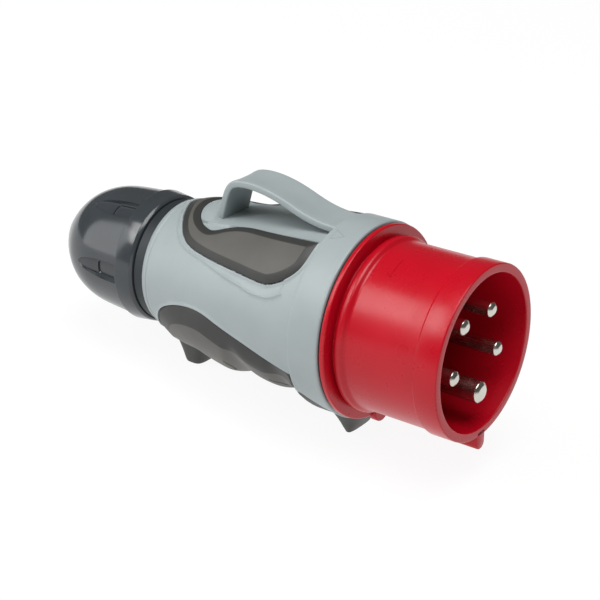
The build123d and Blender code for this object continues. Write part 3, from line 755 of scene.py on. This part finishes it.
# x and degrees over the horizontal along each slit.
SLITS = [[(-105.5, -51), (-102.8, -50), (-100.2, -51)], [(-100.5, -54), (-98.0, -52), (-95.5, -53)],
         [(-81.4, -36), (-80.6, -43), (-81.2, -50)], [(-74.3, -34), (-72.9, -38), (-72.3, -42)],
         [(-63.0, -38), (-60.8, -43), (-60.2, -49)]]
SLIT_HALF = 0.4
SLIT_FLOOR = 0.08
SLIT_ROW = 0.1
SLIT_DEPTH = 0.6
SLIT_LINES = [smooth_curve([(x, arc(angle)) for x, angle in slit], 12) for slit in SLITS]


def grip_r(flat, depth):
    """Radius of the grip: the body with the inlay's rise, cut down to the finger ridges."""
    x, turn = flat[:, 0], flat[:, 1] / UNROLL_R
    plain = np.where(x > BAND_REAR, GRIP_BAND_R, body_r(x) + inlay_rise(depth, GRIP_BORDER, GRIP_FACE))
    ridge = np.interp(x, FINGER_CURVE[:, 0], FINGER_CURVE[:, 1])
    rise = FINGER_AXIS_Z * np.cos(turn)
    finger = rise + np.sqrt(ridge ** 2 - (FINGER_AXIS_Z * np.sin(turn)) ** 2)
    radius = soft_min(plain, finger, GRIP_BLEND)
    for slit in SLIT_LINES:
        radius -= SLIT_DEPTH * (1 - smooth_step(line_distance(flat, slit), SLIT_FLOOR, SLIT_HALF))
    return radius


def sweep_bar(sections):
    """Closed bar through sections of equal point counts, each a list of (x, y, z)."""
    size = len(sections[0])
    points = np.array([p for section in sections for p in section], float)
    faces = [[i * size + k, i * size + (k + 1) % size, (i + 1) * size + (k + 1) % size, (i + 1) * size + k]
             for i in range(len(sections) - 1) for k in range(size)]
    faces += [list(range(size))[::-1], [(len(sections) - 1) * size + k for k in range(size)]]
    return points, faces


def make_fin(x, z, length, width, flare):
    """Fin with a rounded sole that spreads into the grip."""
    levels = FIN_SOLE + [(height, flare * (height / 10) ** FIN_CURVE) for height in FIN_HEIGHTS]
    rings = []
    for height, spread in levels:
        half = (length / 2 + spread, width / 2 + spread * FIN_SIDE_SPREAD)
        ring = []
        for k in range(FIN_POINTS):
            turn = 2 * math.pi * k / FIN_POINTS
            c, s = (math.copysign(abs(part) ** FIN_SQUARENESS, part)
                    for part in (math.cos(turn), math.sin(turn)))
            ring.append((x + half[0] * c, half[1] * s, z + height))
        rings.append(ring)
    return sweep_bar(rings)


def make_grip():
    """Bottom pad from its outline, with the slits and both fins."""
    lines = inlay_lines(GRIP_LINE, GRIP_BORDER)
    lines += [ring_line(BAND_REAR - GRIP_BAND_ROW), ring_line(BAND_REAR + GRIP_BAND_ROW)]
    for slit in SLIT_LINES:
        lines += [slit + line_normals(slit) * amount for amount in (-SLIT_HALF, -SLIT_ROW, SLIT_ROW, SLIT_HALF)]
    points, faces, rim = inlay_shell(GRIP_LINE, grip_r, lambda flat: grip_seat_r(flat) + GRIP_CLEAR, lines,
                                     GRIP_BOX, GRIP_BORDER)
    for fin in FINS:
        points, faces = added(points, faces, *make_fin(*fin))
    # The fins get FIN_SHADE in the painted shade mask.
    return points, faces, np.concatenate((rim, np.full(len(points) - len(rim), FIN_SHADE)))


grip_points, grip_faces, grip_painted_shade = make_grip()
new_piece("bottom_grip_inlay", grip_points, grip_faces, PAD_RUBBER, "housing", ["bottom_grip_pad"],
          values=grip_painted_shade)


# Sleeve. Red mating sleeve, floor, flange and the skirt that turns in the housing, one glossy
# moulding in flame-retardant polyamide. The key is at the bottom of the mouth.
SLEEVE_R = 28.0
BARREL_R = 27.2
SLEEVE_BORE = 25.1
SLEEVE_SIDES = 224
# x, radius and rounding of each corner.
SLEEVE_PROFILE = [(-39.5, 0, 0), (-39.5, 22.0, 0), (-53.0, 22.0, 0.2), (-53.0, 24.0, 0.2), (-39.0, 24.0, 0),
                  (-39.0, 31.5, 0.45), (-37.3, 31.5, 0.45), (-37.3, 26.5, 0.15), (-36.3, 26.5, 0.15),
                  (-36.3, 28.4, 1.2), (-33.7, 28.4, 1.4), (-32.5, BARREL_R, 1.2), (-8.5, BARREL_R, 0.3),
                  (-7.8, SLEEVE_R, 0.3), (0.0, SLEEVE_R, 0.45), (0.0, SLEEVE_BORE, 0.35),
                  (-36.5, SLEEVE_BORE, 0.8), (-36.5, 0, 0)]
BAR_BASE = -26.5
KEY_HALF = 2.3
# x, height of the crest and inset of each section.
KEY = [(0.0, -32.8, 0.35), (-0.12, -32.8, 0.12), (-0.4, -32.8, 0), (-16.0, -32.8, 0), (-17.5, -31.3, 0),
       (-20.0, -28.4, 0)]
LUG_HALF = 4.0
LUG = [(-36.2, -34.5, 0.35), (-36.35, -34.5, 0.1), (-36.6, -34.5, 0), (-38.6, -34.5, 0), (-38.85, -34.5, 0.1),
       (-39.0, -34.5, 0.35)]
INDEX_LINE = [(-25.8, angle) for angle in np.linspace(59.5, 75.4, 12)]
INDEX_ARROW = [(-27.3, 61.6), (-25.8, 58.9), (-24.3, 61.6)]


def rounded(profile, steps=5):
    """Profile with each (x, radius, rounding) corner rounded off."""
    result = []
    for i, (x, r, size) in enumerate(profile):
        if size == 0 or i in (0, len(profile) - 1):
            result.append((x, r))
            continue
        here = np.array((x, r), float)
        back, ahead = (np.array(profile[j][:2], float) - here for j in (i - 1, i + 1))
        back, ahead = back / np.hypot(*back), ahead / np.hypot(*ahead)
        half = math.acos(float(np.clip(back @ ahead, -1, 1))) / 2
        reach = size / math.tan(half)
        centre = here + (back + ahead) / np.hypot(*(back + ahead)) * size / math.sin(half)
        first, last = here + back * reach - centre, here + ahead * reach - centre
        sweep = math.atan2(first[0] * last[1] - first[1] * last[0], float(first @ last))
        for k in range(steps + 1):
            c, s = math.cos(sweep * k / steps), math.sin(sweep * k / steps)
            result.append(tuple(centre + (first[0] * c - first[1] * s, first[0] * s + first[1] * c)))
    return result


def lathe(profile, count, centre=(0, 0)):
    """Surface turned about an axis along X; its (x, radius) points run with the outside on their left."""
    turns = np.arange(count) * 2 * math.pi / count
    rings = [np.stack((np.full(count, x), centre[0] + r * np.cos(turns), centre[1] + r * np.sin(turns)), 1)
             for x, r in profile]
    faces = []
    for i in range(len(profile) - 1):
        for k in range(count):
            a, b = i * count + k, i * count + (k + 1) % count
            faces.append([a, a + count, b + count, b])
    return merged(np.concatenate(rings), faces)[:2]


def bar_section(x, half, crest, inset):
    """Section across X of a bar with a round crest that points down."""
    half -= inset
    crest += inset
    ring = [(x, half * math.cos(t), crest + half + half * math.sin(t))
            for t in np.linspace(math.pi, 2 * math.pi, 15)]
    return [(x, -half, BAR_BASE)] + ring + [(x, half, BAR_BASE)]


def make_sleeve():
    """Turned sleeve with its key, the lug behind the key and the index mark."""
    points, faces = lathe(rounded(SLEEVE_PROFILE), SLEEVE_SIDES)
    for half, bar in ((KEY_HALF, KEY), (LUG_HALF, LUG)):
        sections = [bar_section(x, half, crest, inset) for x, crest, inset in bar]
        points, faces = added(points, faces, *sweep_bar(sections))
    for path in (INDEX_LINE, INDEX_ARROW):
        points, faces = raised_line(points, faces, path, BARREL_R)
    return points, faces


# Injection-moulded polyamide, signal red: clear highlights with soft ends.
RED_PA, _, red_shader = moulded("polyamide_red_gloss", ("#B0041A", "#B6061D"), (0.26, 0.31), 0.9, 0.005)
red_shader.inputs["Specular IOR Level"].default_value = 0.35
sleeve_points, sleeve_faces = make_sleeve()
new_piece("mating_sleeve", sleeve_points, sleeve_faces, RED_PA, "front_insert", ["sleeve"],
          sharp=28)


# Gland nut. Domed cap nut in dark polyamide with a semi-gloss skin: a raised band in front, then
# six grip pockets along the dome, each a ramp that ends in a deeper step at the band.
NUT_FRONT = -122.6
NUT_LENGTH = 39.6
NUT_END = NUT_FRONT - NUT_LENGTH
NUT_GRID = 0.7
NUT_SIDES = 192
NUT_BAND_R = 22.8
NUT_BAND = 6.8
# Share of the nut's length and radius.
NUT_FORM = [(0.165, 22.2), (0.44, 21.35), (0.60, 20.5), (0.70, 19.3), (0.79, 17.6), (0.87, 15.3),
            (0.94, 12.8), (1.0, 10.2)]
NUT_UNROLL = 21.0
POCKET_COUNT = 6
POCKET_HALF = 3.25
POCKET_LENGTH = 19.0
POCKET_DEPTH = 1.3
POCKET_RAMP = 9.0
POCKET_CURVE = 0.8
POCKET_WALL = 0.16
STEP_DEPTH = 0.5
STEP_HALF = POCKET_HALF - 0.8
WELD_DISTANCE = 0.02
FIRST_POCKET = math.radians(30)
NUT_DOME = smooth_curve([(NUT_FRONT - share * NUT_LENGTH, r) for share, r in NUT_FORM], 160)
POCKET_FRONT = NUT_FRONT - NUT_BAND
POCKET_OUT = POCKET_FRONT + 5
POCKET_SIDE = smooth_curve([(POCKET_FRONT, POCKET_HALF), (POCKET_FRONT - 9.0, POCKET_HALF - 0.05),
                            (POCKET_FRONT - 14.0, POCKET_HALF - 0.8), (POCKET_FRONT - 17.6, POCKET_HALF - 2.0),
                            (POCKET_FRONT - POCKET_LENGTH, 0.0)], 60)
STEP_CORNERS = np.array([(POCKET_FRONT, STEP_HALF), (POCKET_FRONT - 8.6, STEP_HALF),
                         (POCKET_FRONT - 9.2, POCKET_HALF - 1.0), (POCKET_FRONT - 9.5, POCKET_HALF - 1.5),
                         (POCKET_FRONT - 9.6, 0.0)])
STEP_WAY = np.concatenate(([0], np.cumsum(np.hypot(*np.diff(STEP_CORNERS, axis=0).T))))
STEP_SIDE = np.stack([np.interp(np.linspace(0, STEP_WAY[-1], 40), STEP_WAY, STEP_CORNERS[:, k])
                      for k in (0, 1)], 1)
STEP_FOOT = np.array([(POCKET_FRONT, STEP_HALF - POCKET_WALL), (POCKET_FRONT - 8.5, STEP_HALF - POCKET_WALL),
                      (POCKET_FRONT - 9.3, POCKET_HALF - 1.6), (POCKET_FRONT - 9.44, 0.0)])
SECTOR = math.pi / POCKET_COUNT * NUT_UNROLL
NUT_TURNED = [(POCKET_FRONT, 20.6, 0), (POCKET_FRONT, NUT_BAND_R, 0.25),
              (NUT_FRONT - 0.9, NUT_BAND_R - 0.75, 1.2), (NUT_FRONT, NUT_BAND_R - 1.4, 0.4),
              (NUT_FRONT, 19.5, 0.25), (-145.0, 19.5, 0.3), (-149.0, 18.4, 2.0), (-156.5, 14.0, 1.0),
              (NUT_END + 2.6, 12.6, 0.2), (NUT_END + 2.6, 9.6, 0.3), (NUT_END, 9.6, 0.25), (NUT_END, 10.25, 0)]


def nut_dome_r(x):
    """Radius of the plain dome."""
    return np.interp(-x, -NUT_DOME[:, 0], NUT_DOME[:, 1])


def pocket_r(flat):
    """Radius of the dome with its pocket."""
    x = flat[:, 0]
    depth = depth_in(flat, POCKET_SIDE, [(POCKET_OUT, 0.0), (POCKET_OUT, POCKET_HALF)])
    inner = depth_in(flat, STEP_SIDE, [(POCKET_OUT, 0.0), (POCKET_OUT, STEP_HALF)])
    ramp = np.clip((x - (POCKET_FRONT - POCKET_LENGTH)) / POCKET_RAMP, 0, 1) ** POCKET_CURVE
    radius = nut_dome_r(x) - POCKET_DEPTH * ramp * smooth_step(depth, 0, POCKET_WALL)
    return radius - STEP_DEPTH * smooth_step(inner, 0, POCKET_WALL)


def make_nut_sector():
    """One pocket's sector of the dome, from the middle of one rib to the next."""
    lines = [POCKET_SIDE, STEP_SIDE]
    lines += [POCKET_SIDE - (0, inset) for inset in (POCKET_WALL, POCKET_WALL / 2)]
    lines = [line[line[:, 1] >= 0] for line in lines] + [STEP_FOOT]
    lines += [ring_line(x, SECTOR, 24) for x in (POCKET_FRONT, NUT_END)]
    flat, faces = fill_surface(lines, (NUT_END, 0), (POCKET_FRONT, SECTOR), NUT_GRID)
    points, faces, _ = mirrored(rolled(flat, pocket_r(flat), NUT_UNROLL), faces[:, ::-1].tolist())
    c, s = math.cos(FIRST_POCKET), math.sin(FIRST_POCKET)
    return points @ np.array([(1, 0, 0), (0, c, s), (0, -s, c)]), faces


def repeat_tree(material):
    """Node tree that sets copies of a mesh evenly about the X axis and joins them."""
    tree = bpy.data.node_groups.new("repeat_about_axis", "GeometryNodeTree")
    tree.interface.new_socket("Geometry", in_out="INPUT", socket_type="NodeSocketGeometry")
    tree.interface.new_socket("Count", in_out="INPUT", socket_type="NodeSocketInt")
    tree.interface.new_socket("Geometry", in_out="OUTPUT", socket_type="NodeSocketGeometry")
    start = add_node(tree, "NodeGroupInput", (-900, 0))
    end = add_node(tree, "NodeGroupOutput", (900, 0))
    places = add_node(tree, "GeometryNodeMeshLine", (-700, 200), mode="OFFSET", Offset=(0.0, 0.0, 0.0))
    index = add_node(tree, "GeometryNodeInputIndex", (-700, -200))
    share = add_node(tree, "ShaderNodeMath", (-500, -200), operation="DIVIDE")
    turn = add_node(tree, "ShaderNodeMath", (-300, -200), operation="MULTIPLY")
    turn.inputs[1].default_value = 2 * math.pi
    angles = add_node(tree, "ShaderNodeCombineXYZ", (-100, -200))
    copies = add_node(tree, "GeometryNodeInstanceOnPoints", (100, 0))
    real = add_node(tree, "GeometryNodeRealizeInstances", (300, 0))
    weld = add_node(tree, "GeometryNodeMergeByDistance", (500, 0), Distance=WELD_DISTANCE * MM)
    coat = add_node(tree, "GeometryNodeSetMaterial", (700, 0), Material=material)
    link = tree.links.new
    link(start.outputs["Count"], places.inputs["Count"])
    link(index.outputs["Index"], share.inputs[0])
    link(start.outputs["Count"], share.inputs[1])
    link(share.outputs["Value"], turn.inputs[0])
    link(turn.outputs["Value"], angles.inputs["X"])
    link(places.outputs["Mesh"], copies.inputs["Points"])
    link(start.outputs["Geometry"], copies.inputs["Instance"])
    link(angles.outputs["Vector"], copies.inputs["Rotation"])
    link(copies.outputs["Instances"], real.inputs["Geometry"])
    link(real.outputs["Geometry"], weld.inputs["Geometry"])
    link(weld.outputs["Geometry"], coat.inputs["Geometry"])
    link(coat.outputs["Geometry"], end.inputs["Geometry"])
    return tree


def repeated(points, faces, count, material):
    """Points and faces of a mesh that is set count times about the X axis by Geometry Nodes."""
    mesh = bpy.data.meshes.new("one_sector")
    mesh.from_pydata((points * MM).tolist(), [], faces)
    holder = bpy.data.objects.new("one_sector", mesh)
    bpy.context.scene.collection.objects.link(holder)
    modifier = holder.modifiers.new("repeat", "NODES")
    modifier.node_group = repeat_tree(material)
    sockets = {item.name: item.identifier for item in modifier.node_group.interface.items_tree
               if item.in_out == "INPUT"}
    modifier[sockets["Count"]] = count
    whole = bpy.data.meshes.new_from_object(holder.evaluated_get(bpy.context.evaluated_depsgraph_get()))
    corners = np.empty(len(whole.vertices) * 3)
    whole.vertices.foreach_get("co", corners)
    rings = [list(face.vertices) for face in whole.polygons]
    holder.modifiers.clear()
    bpy.data.objects.remove(holder)
    bpy.data.meshes.remove(mesh)
    bpy.data.meshes.remove(whole)
    return corners.reshape(-1, 3) / MM, rings


def make_nut(material):
    """Dome from six sectors, with the band, the mouth and the inside turned on."""
    dome = repeated(*make_nut_sector(), POCKET_COUNT, material)
    return added(*dome, *lathe(rounded(NUT_TURNED), NUT_SIDES))


# Dark polyamide off a polished mould: reflections of the lights show on it with soft ends.
NUT_PA, _, _ = moulded("polyamide_charcoal_gloss", ("#33383B", "#3A3E42"), (0.14, 0.18), 1.2, 0.004)
nut_points, nut_faces = make_nut(NUT_PA)
new_piece("domed_gland_nut", nut_points, nut_faces, NUT_PA, "nut", ["gland_nut"], sharp=30)


# Gland body. Collar and neck moulded in dark slate polyamide, fixed in the housing's rear end; the
# nut screws onto the neck, so that only the collar shows. The ring of clamping fingers inside is
# of the same polyamide.
COLLAR_PA, _, collar_shader = moulded("polyamide_slate_satin", ("#24292C", "#2B3033"), (0.42, 0.48), 0.8, 0.015)
collar_shader.inputs["Specular IOR Level"].default_value = 0.3


def paint(nodes, material):
    """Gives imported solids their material."""
    for node in nodes:
        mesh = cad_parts[node].data
        mesh.materials.clear()
        mesh.materials.append(material)


paint(["gland_body", "clamp_cage"], COLLAR_PA)


# Contact carrier and slip ring. Black thermoset block behind the sleeve's floor that holds the
# terminals, and the acetal ring that the nut slides on.
CARRIER_THERMOSET, _, _ = moulded("thermoset_black_matt", ("#161616", "#1D1D1C"), (0.50, 0.60), 0.4, 0.02)
paint(["contact_carrier", "thrust_ring"], CARRIER_THERMOSET)


# Seals. The flange gasket, pressed between flange and housing, and the bush that closes on the
# cord, both moulded in black nitrile rubber with a dusty matt skin.
SEAL_RUBBER, _, _ = moulded("nitrile_black_matt", ("#121212", "#191919"), (0.62, 0.75), 0.5, 0.03)
paint(["flange_gasket", "cord_seal"], SEAL_RUBBER)


# Contact pins. Five pins turned from brass and plated with bright nickel, the earth pin thicker
# and longer. Each passes through the sleeve's floor, with its collar behind it.
PIN_CIRCLE = 13.4
PIN_SIDES = 56
# Degrees round the axis, radius and x of the tip.
PINS = {"l1": (126.0, 2.5, -1.9), "l2": (54.0, 2.5, -1.9), "l3": (-18.0, 2.5, -1.9),
        "neutral": (198.0, 2.5, -1.9), "earth": (270.0, 3.5, -0.1)}
PIN_NECK = 0.2
PIN_COLLAR = 2.8
PIN_SHANK = 1.5
WAVE_SCALE = 0.314


def metal(name, colour, roughness, ring_pitch, ring_depth):
    """Turned metal: rings of a pitch in mm, drawn coarser than real so that they show."""
    material, tree, shader = new_material(name)
    shader.inputs["Metallic"].default_value = 1.0
    where = add_node(tree, "ShaderNodeTexCoord", (-900, -300))
    rings = add_node(tree, "ShaderNodeTexWave", (-700, -300), wave_type="BANDS", bands_direction="X",
                     Scale=WAVE_SCALE / (ring_pitch * MM) / 2, Distortion=0.6, Detail=1.0)
    bump = add_node(tree, "ShaderNodeBump", (-400, -300), Strength=0.25, Distance=ring_depth * MM)
    tree.links.new(where.outputs["Object"], rings.inputs["Vector"])
    tree.links.new(rings.outputs["Fac"], bump.inputs["Height"])
    tree.links.new(bump.outputs["Normal"], shader.inputs["Normal"])
    tint = varied(tree, where, linear(colour[0]), linear(colour[1]), 6.0)
    gloss = varied(tree, where, grey(roughness[0]), grey(roughness[1]), 3.0, (-500, 0))
    tree.links.new(tint, shader.inputs["Base Color"])
    tree.links.new(gloss, shader.inputs["Roughness"])
    return material


def pin_profile(radius, tip):
    """Half outline of a pin: round tip, contact, neck in the floor, collar and terminal shank."""
    neck, collar, shank = radius - PIN_NECK, radius + PIN_COLLAR, radius + PIN_SHANK
    return [(tip, 0, 0), (tip, radius - 1.25, 1.3), (tip - 0.9, radius, 0.7), (-35.8, radius, 0.05),
            (-35.8, neck, 0), (-36.5, neck, 0), (-39.6, neck, 0), (-39.6, collar, 0.2), (-41.6, collar, 0.2),
            (-41.6, shank, 0), (-57.5, shank, 0.3), (-57.5, 0, 0)]


NICKEL = metal("nickel_plated_brass", ("#C9C6BE", "#D3D0C8"), (0.20, 0.28), 0.35, 0.004)
for pin, (angle, radius, tip) in PINS.items():
    place = (PIN_CIRCLE * math.cos(math.radians(angle)), PIN_CIRCLE * math.sin(math.radians(angle)))
    pin_points, pin_faces = lathe(rounded(pin_profile(radius, tip))[::-1], PIN_SIDES, place)
    new_piece("contact_" + pin, pin_points, pin_faces, NICKEL, "front_insert", ["pin_" + pin])


# Screws. Slotted screws of zinc-plated steel: five that clamp the wires in the terminals and the
# one that holds the carrier behind the sleeve's floor.
ZINC = metal("zinc_plated_steel", ("#B4B5B2", "#C0C1BE"), (0.30, 0.40), 0.4, 0.004)
paint(["terminal_screw_" + pin for pin in PINS] + ["carrier_screw"], ZINC)
